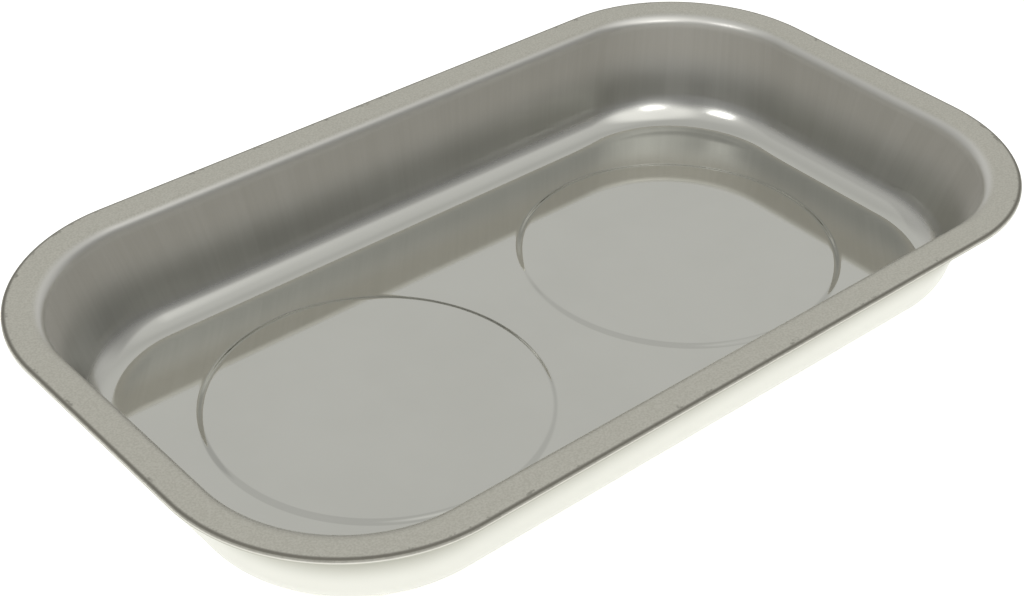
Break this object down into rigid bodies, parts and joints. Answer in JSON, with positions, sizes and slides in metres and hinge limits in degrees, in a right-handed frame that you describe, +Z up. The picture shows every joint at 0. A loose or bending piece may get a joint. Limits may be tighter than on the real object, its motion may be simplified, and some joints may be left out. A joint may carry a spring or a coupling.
{
  "type": "magnetic parts tray",
  "caption": "Long rounded-rectangle stainless parts tray with a flat rim and raised round pads, standing on rubber-covered disc magnets.",
  "frame": {"origin": "on the resting surface, below the centre of the tray", "axes": "+X along the tray's long side, +Y across it, +Z up out of the dish's mouth"},
  "size_m": [0.24, 0.1414, 0.0394],
  "materials": {
    "stainless_sheet": "satin on the rim and walls, close to a mirror on the floor",
    "black_rubber": "moulded, fine matt texture",
    "ferrite": "ground, dull",
    "plain_steel": "rolled steel plate, lightly oiled",
    "zinc_plated": "bright zinc plating"
  },
  "bodies": {
    "root": {"tray_shell": "stainless_sheet", "weld_stud_left": "zinc_plated", "weld_stud_right": "zinc_plated", "pole_plate_left": "plain_steel", "pole_plate_right": "plain_steel", "magnet_ring_left": "ferrite", "magnet_ring_right": "ferrite", "rubber_cover_left": "black_rubber", "rubber_cover_right": "black_rubber", "plain_washer_left": "zinc_plated", "plain_washer_right": "zinc_plated", "spring_washer_left": "zinc_plated", "spring_washer_right": "zinc_plated", "hex_nut_left": "zinc_plated", "hex_nut_right": "zinc_plated"}
  },
  "joints": []
}
